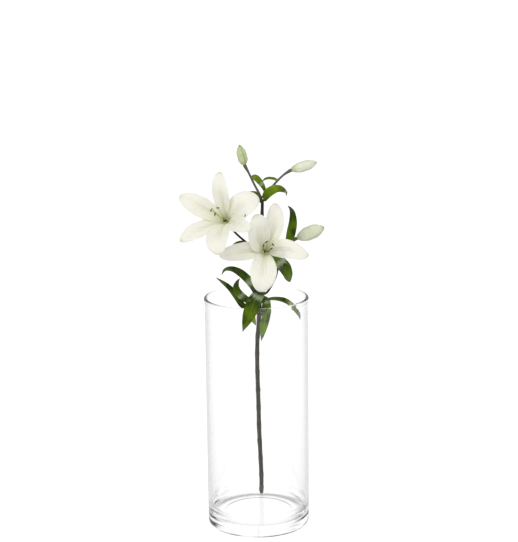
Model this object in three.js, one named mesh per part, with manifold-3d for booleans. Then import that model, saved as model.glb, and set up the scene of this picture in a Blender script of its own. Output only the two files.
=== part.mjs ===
// A cut white lily stem standing in a clear glass cylinder vase.
// Millimetres, +Z up. The origin is the centre of the vase's flat underside, and -Y is the front:
// the stem stands on the back of the vase's floor and leans forward on the front of its rim.
import * as THREE from 'three';
import { mergeVertices } from 'three/addons/utils/BufferGeometryUtils.js';
import Module from 'manifold-3d';

const wasm = await Module();
wasm.setup();

// ---------------------------------------------------------------- driving dimensions

// Vase: a straight cylinder with a thick floor and a rounded, slightly swollen rim.
const VASE_HEIGHT = 345;
const VASE_RADIUS = 75;
const WALL = 4;
const FLOOR = 18;
const HEEL_ROUND = 6;
const FLOOR_ROUND = 4;
const LIP_SWELL = 1.4;
const LIP_DEPTH = 9;
const VASE_SIDES = 48;
const ROUND_STEPS = 3;

// Stem and flower stalks.
const STEM_FOOT_RADIUS = 3.2;
const STEM_TOP_RADIUS = 2.15;
const STEM_RINGS = 40;
const STEM_SIDES = 8;
const NODE_SPACING = 0.062;
const NODE_SWELL = 0.35;
const SCAR_COUNT = 15;
const SCAR_SIZE = [1.5, 1.5, 1.1];
const SCAR_HEIGHT = 0.75;
const GOLDEN_ANGLE = 137.5;
const STALK_RADIUS = 1.55;
const STALK_END_RADIUS = 2.5;
const STALK_SIDES = 6;
const STALK_RINGS = 8;
const CUT_SLANT = 55;
const CUT_TURN = -12;
const FOOT_GAP = 0.3;
const CLEARANCE = 0.35;
const BUD_GAP = 0.9;

// Blades: tepals and leaves.
const TEPAL_THICKNESS = 0.9;
const TEPAL_ROWS = 11;
const TEPAL_COLUMNS = 6;
const TEPAL_ROOT_LEAN = 25;
const CLAW = 0.26;
const TIP_WIDTH = 1.6;
const LEAF_THICKNESS = 0.8;
const LEAF_COLUMNS = 4;

// Throat of an open flower.
const RECEPTACLE_RADIUS = 4.2;
const RECEPTACLE_LENGTH = 6;
const ROOT_RADIUS = 2.4;
const FILAMENT_RADIUS = 0.6;
const ANTHER = [0.85, 0.8, 2.9];
const ANTHER_TILT = 20;
const STYLE_RADIUS = 0.8;
const STIGMA_RADIUS = 2.1;
const STAMEN_FOOT = 3.2;

// ---------------------------------------------------------------- routes and places

// The stem's centre line, from its cut foot on the floor up to the fork of the two top buds.
const STEM_ROUTE = [
  [3.6, 66.4, 11], [4.6, 52.5, 44], [3.5, 33.5, 91], [2, 15.5, 136], [1.5, -2, 180.5], [0.8, -19, 224],
  [0.5, -33, 260], [1.2, -46, 291], [2.8, -56, 316], [4.5, -67.6, 344], [6, -77, 372], [7.3, -88, 403],
  [8.5, -97, 434], [9, -105, 464], [9.6, -110, 486], [10.3, -113, 505],
];

// Open flowers: where the flower sits, which way it looks (degrees right of the front, degrees up),
// its stalk, and its tepals as [degrees round the flower, length, width, lean from the axis, curl of
// the tip, where it is broadest, sideways sweep of the tip]. Stamens are [degrees round the flower,
// spread at the end, length], and the pistil is the first two of these.
const FLOWERS = [
  {
    name: 'front',
    seat: [12.3, -142.7, 440.7],
    looks: [10, 22],
    stalk: [[8.5, -93, 417], [10, -103, 425], [11, -118, 432.5], [12.1, -141.5, 440.2]],
    outer: [[66, 75, 25, 62, 50, 0.6, 10], [182, 73, 25, 88, 40, 0.5, 2], [344, 56, 15, 42, 45, 0.5, 0]],
    inner: [[133, 67, 36, 38, 40, 0.5, -21], [252, 73, 36, 64, 55, 0.58, 3], [361, 70, 26.5, 50, 30, 0.48, -18]],
    stamens: [[120, 7.5, 42], [30, 5.5, 42], [300, 3.5, 41], [165, 8, 41], [205, 4, 20], [295, 3, 20]],
    pistil: [70, 4],
  },
  {
    name: 'left',
    seat: [-37.2, -139.3, 482.1],
    looks: [-22, 26],
    stalk: [[8.6, -97.5, 431], [-1, -103, 438], [-14, -112.5, 449.6], [-28.3, -124, 465.5],
      [-36.8, -138.2, 481.5]],
    outer: [[86, 77, 24.5, 42, 50, 0.55, 6], [223, 78, 24, 52, 35, 0.6, 1], [340, 76, 23, 50, 40, 0.55, 0]],
    inner: [[161, 77, 28, 44, 40, 0.55, 0], [281.5, 74.5, 33, 47, 75, 0.64, 0], [27, 71, 37, 64, 60, 0.6, 2]],
    stamens: [[150, 10.5, 42], [175, 3, 40], [90, 8.5, 42], [5, 38, 42], [200, 0.5, 14], [315, 2, 12]],
    pistil: [140, 5],
  },
];

// Closed buds: the stalk's route, where the bud's tip is, its greatest radius and how far that lies
// towards the tip (1 is halfway, and more is nearer the tip).
const BUDS = [
  {
    name: 'bud_upper_left',
    stalk: [[10.4, -113, 504], [6.4, -116, 515.9], [-0.5, -119, 529.9], [-5.9, -121, 542],
      [-9.9, -122, 550.4], [-13.9, -123, 557.9]],
    tip: [-20.1, -127, 586],
    radius: 6.6,
    fullness: 0.95,
  },
  {
    name: 'bud_upper_right',
    stalk: [[10.4, -113, 504], [18.8, -111.5, 518.7], [29.6, -108, 531.1], [40.2, -103, 540.4],
      [50.4, -98, 546]],
    tip: [86, -90, 555],
    radius: 7.4,
    fullness: 1.1,
  },
  {
    name: 'bud_right',
    stalk: [[5.5, -74, 364], [15, -83, 370], [22.5, -87, 382.4], [28.2, -91, 396], [32, -93.5, 411],
      [41, -96, 433], [53, -98, 447.5], [58.5, -98.8, 451]],
    tip: [95.2, -107, 467.3],
    radius: 9.9,
    fullness: 1.1,
  },
];

// Leaves: the midrib's route from root to tip, the way the upper face looks at the root and at the
// tip, the greatest width, the fold of the two halves (up is positive) and where it is broadest.
const LEAVES = [
  {
    name: 'bract_behind_petal',
    route: [[9.7, -112, 503], [6.4, -107, 509.5], [1.6, -101, 513.8], [-3.5, -97, 515], [-9.7, -93, 515.3]],
    faces: [[-0.5, -0.6, 1], [-0.2, -0.3, 1]],
    width: 6,
    fold: 0.2,
    broadest: 0.45,
  },
  {
    name: 'bract_left',
    route: [[13.5, -111.5, 511.5], [14.5, -111, 517], [12, -109.5, 524.5], [7.3, -107.5, 531.3],
      [1.9, -105, 536], [-2.2, -101.5, 537.3], [-5.1, -98, 534.7]],
    faces: [[-0.6, -1, 0.2], [-0.1, -0.8, 1]],
    width: 7.6,
    fold: 0.3,
    broadest: 0.74,
  },
  {
    name: 'bract_arch',
    route: [[31.9, -105.6, 531.5], [27.2, -102.5, 533.5], [20.1, -101, 534.7], [14.5, -100, 533.5],
      [10, -99, 530.6]],
    faces: [[0, -0.35, 1], [-0.4, -0.35, 1]],
    width: 5.5,
    fold: 0.35,
    broadest: 0.45,
  },
  {
    name: 'bract_right',
    route: [[12.2, -114.3, 508.5], [19, -119.5, 518], [26.5, -123.5, 523.5], [33.5, -125, 524.6],
      [39.6, -122.5, 521.8], [43, -120, 518.6], [42.6, -119, 513.5]],
    faces: [[-0.5, -1, 0.5], [0.6, -1, 0.6]],
    width: 12,
    fold: 0.18,
    broadest: 0.3,
  },
  {
    name: 'bract_on_left_stalk',
    route: [[-13.4, -112, 448.9], [-19.5, -114.3, 449.3], [-25.3, -115.6, 448.4], [-31.5, -116.5, 446]],
    faces: [[0, -0.7, 1], [-0.3, -0.6, 1]],
    width: 2.6,
    fold: 0.3,
    broadest: 0.4,
  },
  {
    name: 'leaf_upright',
    route: [[42, -96, 433], [46.5, -101, 447], [49.5, -104, 460.5], [52, -106, 474.5], [51.5, -106, 487.5],
      [49, -104, 493], [45, -102, 497]],
    faces: [[0.2, -1, 0.2], [-0.2, -1, 0.1]],
    width: 11,
    fold: 0.2,
    broadest: 0.45,
  },
  {
    name: 'leaf_hanging',
    route: [[8.5, -96, 431], [19, -103, 431], [28, -108, 424], [36.5, -111, 414], [43, -110, 402.5],
      [47.5, -107, 390.5]],
    faces: [[0.5, -1, 1], [0.5, -1, 0.7]],
    width: 19,
    fold: 0.3,
    broadest: 0.6,
  },
  {
    name: 'leaf_right',
    route: [[5.5, -72, 357], [15, -67, 356], [26, -58, 354.5], [38.5, -48, 349.5], [48.5, -38, 341],
      [56, -29, 330], [60, -23, 322.5], [62, -19, 314.5]],
    faces: [[0, -0.7, 1], [1, -0.8, 0.4]],
    width: 8.6,
    fold: 0.3,
    broadest: 0.64,
  },
  {
    name: 'leaf_inside',
    route: [[7.2, -69, 352], [10, -66.5, 356.5], [13.8, -64.5, 354.5], [14.5, -63.5, 346], [13.2, -63, 335],
      [11.2, -62, 322], [8.8, -60.5, 308], [6.6, -59, 294]],
    faces: [[0.2, -0.9, 0.6], [0, -1, 0.1]],
    width: 12.6,
    fold: -0.12,
    broadest: 0.42,
  },
  {
    name: 'leaf_over_rim',
    route: [[7.5, -76.4, 369], [4.5, -84.5, 367.5], [-2, -90.5, 360], [-7, -92, 347.5], [-13.5, -91, 332],
      [-19.5, -88, 315]],
    faces: [[-0.3, -0.8, 1], [0, -1, 0.15]],
    width: 20,
    fold: 0.15,
    broadest: 0.36,
  },
  {
    name: 'leaf_left_tip',
    route: [[3.8, -63.5, 336], [-4, -63, 338], [-6, -62, 334], [-4.5, -61, 326.5], [-1, -60, 317]],
    faces: [[-0.4, -1, 0.4], [-0.3, -1, 0.1]],
    width: 7,
    fold: 0.1,
    broadest: 0.45,
  },
  {
    name: 'leaf_left_long',
    route: [[4.5, -66.4, 342], [-9, -64, 341], [-19.5, -60, 346], [-28, -56, 357.5], [-38.5, -53, 371],
      [-56.5, -50, 385]],
    faces: [[0.3, -1, 0.9], [0.3, -1, 0.6]],
    width: 8,
    fold: 0.25,
    broadest: 0.45,
  },
  {
    name: 'leaf_left_fold',
    route: [[5, -70, 352], [-8, -67.5, 352.5], [-18.5, -62, 358], [-25.5, -60, 365], [-28.5, -60, 373],
      [-27, -61, 380], [-23, -62, 386]],
    faces: [[0, -0.5, 1], [0.4, -1, -0.1]],
    width: 10,
    fold: 0.2,
    broadest: 0.5,
  },
  {
    name: 'leaf_left_arch',
    route: [[5.2, -71.8, 357], [2, -74.5, 363], [-3.5, -73, 374], [-11, -69.5, 385], [-21.5, -63.5, 393.5],
      [-33, -59.5, 398.5], [-43.5, -57, 397.5], [-48.5, -56, 390]],
    faces: [[0.8, -1, 0.7], [-0.1, -0.8, 1]],
    width: 12,
    fold: 0.2,
    broadest: 0.42,
  },
];

// ---------------------------------------------------------------- small helpers

const vector = (p) => new THREE.Vector3(p[0], p[1], p[2]);
const radians = THREE.MathUtils.degToRad;
const smooth = (x) => THREE.MathUtils.smoothstep(x, 0, 1);
const routeCurve = (points) => new THREE.CatmullRomCurve3(points.map(vector), false, 'centripetal');

/** Position-only geometry with shared vertices, no collapsed triangles and its faces pointing out. */
function weld(source) {
  const bare = source.clone();
  bare.deleteAttribute('normal');
  bare.deleteAttribute('uv');
  const geometry = mergeVertices(bare, 1e-4);
  const index = geometry.getIndex().array;
  const position = geometry.getAttribute('position');
  const kept = [];
  const a = new THREE.Vector3();
  const b = new THREE.Vector3();
  const c = new THREE.Vector3();
  let volume = 0;
  for (let i = 0; i < index.length; i += 3) {
    const [p, q, r] = [index[i], index[i + 1], index[i + 2]];
    if (p === q || q === r || r === p) continue;
    a.fromBufferAttribute(position, p);
    b.fromBufferAttribute(position, q);
    c.fromBufferAttribute(position, r);
    volume += a.dot(b.cross(c));
    kept.push(p, q, r);
  }
  geometry.setIndex(volume < 0 ? kept.reverse() : kept);
  return geometry;
}

/** A welded geometry as a solid that can be joined and cut. */
function asSolid(source) {
  const geometry = weld(source);
  return new wasm.Manifold(new wasm.Mesh({
    numProp: 3,
    vertProperties: new Float32Array(geometry.getAttribute('position').array),
    triVerts: new Uint32Array(geometry.getIndex().array),
  }));
}

/** The largest body of a solid as a geometry: loose scraps go, and sealed hollows are filled. */
function asGeometry(solid) {
  const bodies = solid.decompose();
  const largest = bodies.reduce((best, body) => (body.volume() > best.volume() ? body : best));
  const mesh = largest.getMesh();
  const geometry = new THREE.BufferGeometry();
  geometry.setAttribute('position', new THREE.BufferAttribute(new Float32Array(mesh.vertProperties), 3));
  geometry.setIndex(new THREE.BufferAttribute(new Uint32Array(mesh.triVerts), 1));
  geometry.computeVertexNormals();
  return geometry;
}

const join = (solids) => solids.reduce((whole, solid) => whole.add(solid));

/** A turned bar of unit length bent along a route: radiusAt gives its radius from 0 to 1 along it. */
function branch(route, radiusAt, sides, rings) {
  const curve = routeCurve(route);
  const frames = curve.computeFrenetFrames(rings, false);
  const profile = [new THREE.Vector2(0, 0)];
  for (let ring = 0; ring <= rings; ring++) {
    const along = ring / rings;
    profile.push(new THREE.Vector2(radiusAt(along), along));
  }
  profile.push(new THREE.Vector2(0, 1));
  const geometry = new THREE.LatheGeometry(profile, sides);
  const position = geometry.getAttribute('position');
  for (let i = 0; i < position.count; i++) {
    const ring = Math.round(position.getY(i) * rings);
    const point = curve.getPointAt(ring / rings);
    point.addScaledVector(frames.normals[ring], position.getX(i));
    point.addScaledVector(frames.binormals[ring], position.getZ(i));
    position.setXYZ(i, point.x, point.y, point.z);
  }
  return weld(geometry);
}

/** A thin sheet of even thickness over surface(s, t), s from 0 to 1 along it, t from -1 to 1 across. */
function blade(rows, columns, thickness, surface) {
  const across = columns + 1;
  const points = [];
  for (let i = 0; i <= rows; i++) {
    for (let j = 0; j <= columns; j++) points.push(surface(i / rows, (2 * j) / columns - 1));
  }
  const clamp = THREE.MathUtils.clamp;
  const at = (i, j) => points[clamp(i, 0, rows) * across + clamp(j, 0, columns)];
  const upper = [];
  const lower = [];
  for (let i = 0; i <= rows; i++) {
    for (let j = 0; j <= columns; j++) {
      const along = at(i + 1, j).clone().sub(at(i - 1, j));
      const sideways = at(i, j + 1).clone().sub(at(i, j - 1));
      const normal = sideways.cross(along).normalize();
      upper.push(at(i, j).clone().addScaledVector(normal, thickness / 2));
      lower.push(at(i, j).clone().addScaledVector(normal, -thickness / 2));
    }
  }
  const count = upper.length;
  const index = [];
  const quad = (a, b, c, d) => index.push(a, b, c, a, c, d);
  for (let i = 0; i < rows; i++) {
    for (let j = 0; j < columns; j++) {
      const a = i * across + j;
      const b = a + 1;
      const c = a + across + 1;
      const d = a + across;
      index.push(a, b, c, a, c, d);
      index.push(count + a, count + c, count + b, count + a, count + d, count + c);
    }
    const left = i * across;
    const right = left + columns;
    quad(left, left + across, count + left + across, count + left);
    quad(right, count + right, count + right + across, right + across);
  }
  const last = rows * across;
  for (let j = 0; j < columns; j++) {
    quad(j, count + j, count + j + 1, j + 1);
    quad(last + j, last + j + 1, count + last + j + 1, count + last + j);
  }
  const geometry = new THREE.BufferGeometry().setFromPoints([...upper, ...lower]);
  geometry.setIndex(index);
  return geometry;
}

// ---------------------------------------------------------------- vase

/** Points on a quarter arc about (x, y), from one angle to another in degrees. */
function arc(x, y, radius, from, to) {
  const points = [];
  for (let step = 0; step <= ROUND_STEPS; step++) {
    const angle = radians(from + ((to - from) * step) / ROUND_STEPS);
    points.push(new THREE.Vector2(x + radius * Math.cos(angle), y + radius * Math.sin(angle)));
  }
  return points;
}

function vaseGeometry() {
  const inside = VASE_RADIUS - WALL;
  const lipRadius = (WALL + LIP_SWELL) / 2;
  const profile = [
    new THREE.Vector2(0, 0),
    ...arc(VASE_RADIUS - HEEL_ROUND, HEEL_ROUND, HEEL_ROUND, -90, 0),
    new THREE.Vector2(VASE_RADIUS, VASE_HEIGHT - LIP_DEPTH),
    ...arc(inside + lipRadius, VASE_HEIGHT - lipRadius, lipRadius, 0, 180),
    new THREE.Vector2(inside, VASE_HEIGHT - LIP_DEPTH),
    ...arc(inside - FLOOR_ROUND, FLOOR + FLOOR_ROUND, FLOOR_ROUND, 0, -90),
    new THREE.Vector2(0, FLOOR),
  ];
  const geometry = new THREE.LatheGeometry(profile, VASE_SIDES);
  geometry.rotateX(Math.PI / 2);
  return weld(geometry);
}

// ---------------------------------------------------------------- stem

/** The stem's radius from foot to fork: it tapers, and swells a little at each old leaf node. */
function stemRadius(t, extra) {
  const taper = THREE.MathUtils.lerp(STEM_FOOT_RADIUS, STEM_TOP_RADIUS, t ** 2.5);
  const phase = (t / NODE_SPACING) % 1;
  return taper + NODE_SWELL * Math.exp(-(((phase - 0.5) / 0.16) ** 2)) + extra;
}

/** A flower stalk's radius: even, and swelling at its end to carry the flower. */
const stalkRadius = (t, extra) => (
  THREE.MathUtils.lerp(STALK_RADIUS, STALK_END_RADIUS, smooth((t - 0.75) / 0.25)) + extra
);

/** Old leaf scars: small raised bumps that climb the stem by the golden angle. */
function scars() {
  const curve = routeCurve(STEM_ROUTE);
  const bumps = [];
  for (let k = 0; k < SCAR_COUNT; k++) {
    const t = (k + 0.55) * NODE_SPACING * 0.72 + 0.02;
    const angle = radians(k * GOLDEN_ANGLE);
    const bump = new THREE.IcosahedronGeometry(1, 0);
    bump.scale(...SCAR_SIZE);
    const reach = stemRadius(t, 0) + SCAR_HEIGHT - SCAR_SIZE[0];
    const point = curve.getPointAt(t);
    bump.translate(point.x + reach * Math.cos(angle), point.y + reach * Math.sin(angle), point.z);
    bumps.push(asSolid(bump));
  }
  return bumps;
}

/** The stem with its five flower stalks, and, with extra, the same swollen for clearance. */
function stemSolid(extra) {
  const stalks = [...FLOWERS, ...BUDS].map((flower) => flower.stalk);
  const solids = [asSolid(branch(STEM_ROUTE, (t) => stemRadius(t, extra), STEM_SIDES, STEM_RINGS))];
  for (const route of stalks) {
    solids.push(asSolid(branch(route, (t) => stalkRadius(t, extra), STALK_SIDES, STALK_RINGS)));
  }
  const whole = join([...solids, ...scars()]);
  if (extra > 0) return whole;
  const level = new THREE.BoxGeometry(60, 60, 30);
  level.translate(0, 0, -15);
  const slanted = level.clone().rotateX(radians(-CUT_SLANT)).rotateZ(radians(-CUT_TURN));
  const [x, y] = STEM_ROUTE[0];
  for (const knife of [level, slanted]) knife.translate(x, y, FLOOR + FOOT_GAP);
  return whole.subtract(asSolid(level)).subtract(asSolid(slanted));
}

// ---------------------------------------------------------------- flowers

/** Turns a flower's own axes (x right, y up, z out of the throat) to the way it looks. */
function flowerMatrix(seat, looks) {
  const [side, up] = looks.map(radians);
  const out = new THREE.Vector3(Math.sin(side) * Math.cos(up), -Math.cos(side) * Math.cos(up), Math.sin(up));
  const right = new THREE.Vector3(Math.cos(side), Math.sin(side), 0);
  const upward = out.clone().cross(right);
  return new THREE.Matrix4().makeBasis(right, upward, out).setPosition(...seat);
}

/**
 * A tepal in the flower's own axes. Its midrib lies in the plane at the given degrees round the
 * flower, leaves the axis at TEPAL_ROOT_LEAN, opens to lean by mid length and then curls back,
 * and its tip sweeps sideways.
 * Across, the two halves rise from a groove and the edges wave.
 */
function tepal([degrees, length, width, lean, curl, broadest, sweep], isInner) {
  const steps = 60;
  const midrib = [[ROOT_RADIUS, isInner ? 2.2 : 1]];
  const leanAt = (s) => radians(
    TEPAL_ROOT_LEAN + (lean - TEPAL_ROOT_LEAN) * smooth(s / 0.55) + curl * smooth((s - 0.55) / 0.45));
  for (let k = 1; k <= steps; k++) {
    const angle = leanAt((k - 0.5) / steps);
    const [r, h] = midrib[k - 1];
    midrib.push([r + (Math.sin(angle) * length) / steps, h + (Math.cos(angle) * length) / steps]);
  }
  const widthAt = (s) => {
    const claw = CLAW + (1 - CLAW) * smooth(s / broadest);
    const crown = (1 - Math.max(0, (s - broadest) / (1 - broadest)) ** 2.2) ** 0.62;
    return TIP_WIDTH + (width - TIP_WIDTH) * claw * crown;
  };
  return blade(TEPAL_ROWS, TEPAL_COLUMNS, TEPAL_THICKNESS, (s, t) => {
    const [r, h] = midrib[Math.round(s * steps)];
    const angle = leanAt(s);
    const half = widthAt(s) / 2;
    const channel = 0.42 * (1 - smooth(s / 0.7)) - 0.1 * smooth((s - 0.3) / 0.6);
    const wave = 0.05 * Math.sin(9 * s + degrees + 1.5 * t) * smooth(s / 0.4);
    const rise = half * (channel * t * t + 0.12 * Math.abs(t) * smooth(s / 0.3) + wave * t * t);
    const turn = radians(degrees + sweep * smooth((s - 0.2) / 0.8));
    const outward = new THREE.Vector3(Math.cos(turn), Math.sin(turn), 0);
    const sideways = new THREE.Vector3(-Math.sin(turn), Math.cos(turn), 0);
    const point = outward.clone().multiplyScalar(r - rise * Math.cos(angle));
    point.addScaledVector(sideways, half * t);
    point.z = h + rise * Math.sin(angle);
    return point;
  });
}

function flowerSolid(flower) {
  const knob = new THREE.SphereGeometry(RECEPTACLE_RADIUS, 8, 5);
  knob.scale(1, 1, RECEPTACLE_LENGTH / (2 * RECEPTACLE_RADIUS));
  knob.translate(0, 0, RECEPTACLE_LENGTH / 2 - 1);
  const solids = [asSolid(knob)];
  for (const shape of flower.outer) solids.push(asSolid(tepal(shape, false)));
  for (const shape of flower.inner) solids.push(asSolid(tepal(shape, true)));
  return join(solids).transform(flowerMatrix(flower.seat, flower.looks).elements);
}

/**
 * Stamens and pistil: filaments that spread from the throat, each with an anther across its end.
 * With extra, the same swollen for clearance.
 */
function stamensSolid(flower, extra) {
  const foot = new THREE.CylinderGeometry(1.9 + extra, 1.9 + extra, 2.4 + 2 * extra, 8);
  foot.rotateX(Math.PI / 2);
  foot.translate(0, 0, STAMEN_FOOT + 1.9);
  const solids = [asSolid(foot)];
  for (const [degrees, reach, length] of flower.stamens) {
    const turn = radians(degrees);
    const end = [reach * Math.cos(turn), reach * Math.sin(turn), length - reach * 0.25];
    const root = [1.2 * Math.cos(turn), 1.2 * Math.sin(turn), STAMEN_FOOT + 1.6];
    const bend = [end[0] * 0.42, end[1] * 0.42, length * 0.57];
    solids.push(asSolid(branch([root, bend, end], () => FILAMENT_RADIUS + extra, 5, 5)));
    const anther = new THREE.SphereGeometry(1, 6, 4);
    anther.scale(ANTHER[0] + extra, ANTHER[2] + extra, ANTHER[1] + extra);
    anther.rotateX(radians(90 - ANTHER_TILT));
    anther.rotateZ(turn);
    anther.translate(end[0], end[1], end[2] + 0.6);
    solids.push(asSolid(anther));
  }
  const [degrees, reach] = flower.pistil;
  const tip = [reach * Math.cos(radians(degrees)), reach * Math.sin(radians(degrees)), 47];
  const style = [[0, 0, STAMEN_FOOT + 1.6], [tip[0] * 0.3, tip[1] * 0.3, 26], tip];
  solids.push(asSolid(branch(style, () => STYLE_RADIUS + extra, 6, 5)));
  const stigma = new THREE.SphereGeometry(STIGMA_RADIUS, 6, 4);
  stigma.scale(1, 1, 0.7);
  stigma.translate(...tip);
  solids.push(asSolid(stigma));
  return join(solids).transform(flowerMatrix(flower.seat, flower.looks).elements);
}

/** A closed bud: a turned spindle with three shallow seams, in line with the end of its stalk. */
function budGeometry(bud) {
  const rings = 9;
  const seat = vector(bud.stalk[bud.stalk.length - 1]);
  const along = vector(bud.tip).sub(seat);
  const length = along.length();
  along.normalize();
  seat.addScaledVector(along, BUD_GAP);
  const profile = [new THREE.Vector2(0, 0)];
  for (let ring = 0; ring <= rings; ring++) {
    const t = ring / rings;
    const girth = 0.3 * (1 - t) ** 2 + Math.max(Math.sin(Math.PI * t ** bud.fullness), 0) ** 0.7;
    profile.push(new THREE.Vector2(Math.max(bud.radius * Math.min(girth, 1), 0.9), t * length));
  }
  profile.push(new THREE.Vector2(0, length));
  const geometry = new THREE.LatheGeometry(profile, 12);
  const position = geometry.getAttribute('position');
  for (let i = 0; i < position.count; i++) {
    const angle = Math.atan2(position.getZ(i), position.getX(i));
    const seam = 1 - 0.06 * (0.5 + 0.5 * Math.cos(3 * angle));
    position.setX(i, position.getX(i) * seam);
    position.setZ(i, position.getZ(i) * seam);
  }
  geometry.applyQuaternion(new THREE.Quaternion().setFromUnitVectors(new THREE.Vector3(0, 1, 0), along));
  geometry.translate(seat.x, seat.y, seat.z);
  return weld(geometry);
}

// ---------------------------------------------------------------- leaves

/** A lance-shaped leaf along its midrib, folded along it, with gently waved edges. */
function leafGeometry(leaf) {
  const curve = routeCurve(leaf.route);
  const [rootFace, tipFace] = leaf.faces.map((face) => vector(face).normalize());
  const rise = leaf.broadest + 0.1;
  const fall = 1 - leaf.broadest;
  const shape = (s) => ((s + 0.1) / rise) ** (rise * 1.8) * ((1 - s) / fall) ** (fall * 1.8);
  const surface = (s, t) => {
    const tangent = curve.getTangentAt(s);
    const face = rootFace.clone().lerp(tipFace, smooth(s)).normalize();
    const sideways = face.clone().cross(tangent).normalize();
    const normal = tangent.clone().cross(sideways);
    const half = (TIP_WIDTH + leaf.width * shape(s)) / 2;
    const wave = 0.07 * Math.sin(11 * s + leaf.width) * t * t;
    const point = curve.getPointAt(s).addScaledVector(sideways, -half * t);
    return point.addScaledVector(normal, half * (leaf.fold * Math.abs(t) ** 1.3 + wave));
  };
  return blade(leaf.width > 10 ? 10 : 8, LEAF_COLUMNS, LEAF_THICKNESS, surface);
}

// ---------------------------------------------------------------- the object

const glass = { color: 0xe9efee, roughness: 0.03, metalness: 0, transparent: true, opacity: 0.35 };
const bark = { color: 0x4b4034, roughness: 0.75, metalness: 0 };
const petal = { color: 0xf0efe4, roughness: 0.6, metalness: 0 };
const pollen = { color: 0x5d4a33, roughness: 0.85, metalness: 0 };
const budGreen = { color: 0xcdd8a8, roughness: 0.6, metalness: 0 };
const leafGreen = { color: 0x4f6f22, roughness: 0.4, metalness: 0 };

const lilies = new THREE.Group();

function add(name, geometry, finish) {
  const mesh = new THREE.Mesh(geometry, new THREE.MeshStandardMaterial(finish));
  mesh.name = name;
  lilies.add(mesh);
}

const clearOfStem = stemSolid(CLEARANCE);
add('vase', vaseGeometry(), glass);
add('stem', asGeometry(stemSolid(0)), bark);
for (const flower of FLOWERS) {
  const bloom = flowerSolid(flower).subtract(clearOfStem).subtract(stamensSolid(flower, CLEARANCE));
  add(`bloom_${flower.name}`, asGeometry(bloom), petal);
  add(`stamens_${flower.name}`, asGeometry(stamensSolid(flower, 0)), pollen);
}
for (const bud of BUDS) add(bud.name, budGeometry(bud), budGreen);
for (const leaf of LEAVES) {
  add(leaf.name, asGeometry(asSolid(leafGeometry(leaf)).subtract(clearOfStem)), leafGreen);
}

export default lilies;
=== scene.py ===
"""Lilies in a vase: a cut white lily stem leaning in a clear glass cylinder.

Lengths in the tables are millimetres and angles are degrees, in the CAD's own frame: the origin is
the centre of the vase's flat underside, -Y is the front and +Z is up. Every piece is a surface of two
parameters, worked out as whole numpy arrays, and stands for one CAD node.
"""
import math

import bpy
import numpy as np
from mathutils import Matrix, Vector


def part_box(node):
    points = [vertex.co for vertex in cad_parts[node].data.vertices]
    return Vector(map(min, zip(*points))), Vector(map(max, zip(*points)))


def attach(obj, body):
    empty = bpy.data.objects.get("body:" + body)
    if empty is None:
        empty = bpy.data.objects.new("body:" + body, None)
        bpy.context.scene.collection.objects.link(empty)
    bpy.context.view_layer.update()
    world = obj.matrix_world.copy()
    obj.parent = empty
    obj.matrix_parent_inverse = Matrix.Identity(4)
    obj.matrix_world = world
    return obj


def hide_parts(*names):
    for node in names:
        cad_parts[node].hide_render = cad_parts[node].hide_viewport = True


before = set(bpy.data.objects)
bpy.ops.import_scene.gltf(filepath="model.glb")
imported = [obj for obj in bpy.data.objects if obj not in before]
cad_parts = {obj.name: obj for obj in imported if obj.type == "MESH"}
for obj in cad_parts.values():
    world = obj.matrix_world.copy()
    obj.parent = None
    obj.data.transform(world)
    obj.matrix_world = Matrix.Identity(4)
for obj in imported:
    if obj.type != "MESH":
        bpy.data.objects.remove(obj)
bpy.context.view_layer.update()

# A millimetre in metres.
MM = 0.001
# The radius of the small ring, in millimetres, at which a round surface ends and is closed.
POLE_RADIUS = 0.02
# On a ball it is this share of the ball's own radius.
BALL_POLE_SHARE = 0.02

# ---------------- driving dimensions

# Vase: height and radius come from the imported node, the rest is how the glass is drawn.
VASE_CORNER = np.array(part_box("vase")[1]) / MM
VASE_HEIGHT = VASE_CORNER[2]
LIP_SWELL = 1.4
VASE_RADIUS = VASE_CORNER[0] - LIP_SWELL
WALL = 4.0
FLOOR = 18.0
HEEL_ROUND = 6.0
FLOOR_ROUND = 4.0
LIP_DEPTH = 9.0

# Stem and flower stalks. Spacings and the first scar's start are shares of the stem's length, and each
# ring of the foot's cut face is drawn in to its middle by a share.
STEM_FOOT_RADIUS = 3.2
STEM_TOP_RADIUS = 2.15
NODE_SPACING = 0.062
NODE_SWELL = 0.35
SCAR_COUNT = 15
SCAR_HEIGHT = 0.7
SCAR_SPREAD = (1.5, 1.1)
SCAR_START = 0.02
SCAR_SPACING = 0.72 * NODE_SPACING
GOLDEN_ANGLE = 137.5
STALK_RADIUS = 1.55
STALK_END_RADIUS = 2.5
CUT_SLANT = 55.0
CUT_TURN = -12.0
CUT_RINGS = (0.995, 0.85, 0.7, 0.55, 0.4, 0.25, 0.12, 0.03)
CUT_DEPTH = 0.5
FOOT_GAP = 0.3
STEM_CLEARANCE = 0.25

# Tepals and leaves.
TEPAL_THICKNESS = 0.9
TEPAL_ROOT_LEAN = 25.0
TEPAL_ROOT_RADIUS = 2.4
TEPAL_ROOT_HEIGHT = {"outer": 1.0, "inner": 2.2}
CLAW = 0.26
TIP_WIDTH = 1.6
# The tint of a whorl's first tepal, which sets its drift of colour apart from the next one's.
TEPAL_DRIFT = 5
LEAF_THICKNESS = 0.8
EDGE_SHARE = 0.3

# Throat of an open flower.
RECEPTACLE_RADIUS = 4.2
RECEPTACLE_LENGTH = 6.0
THROAT_FLOOR = (2.3, 2.3, 1.6)
FILAMENT_RADIUS = 0.6
FILAMENT_END_RADIUS = 0.42
ANTHER = (0.95, 0.8075, 3.1)
ANTHER_TILT = 20.0
ANTHER_GROOVE = 0.25
STYLE_RADIUS = 0.85
STYLE_LENGTH = 47.0
STYLE_BEND = 26.0
STIGMA_LOBE = (1.302, 1.05, 1.2)
STIGMA_SPREAD = 0.8
STAMEN_FOOT = 4.8

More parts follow.
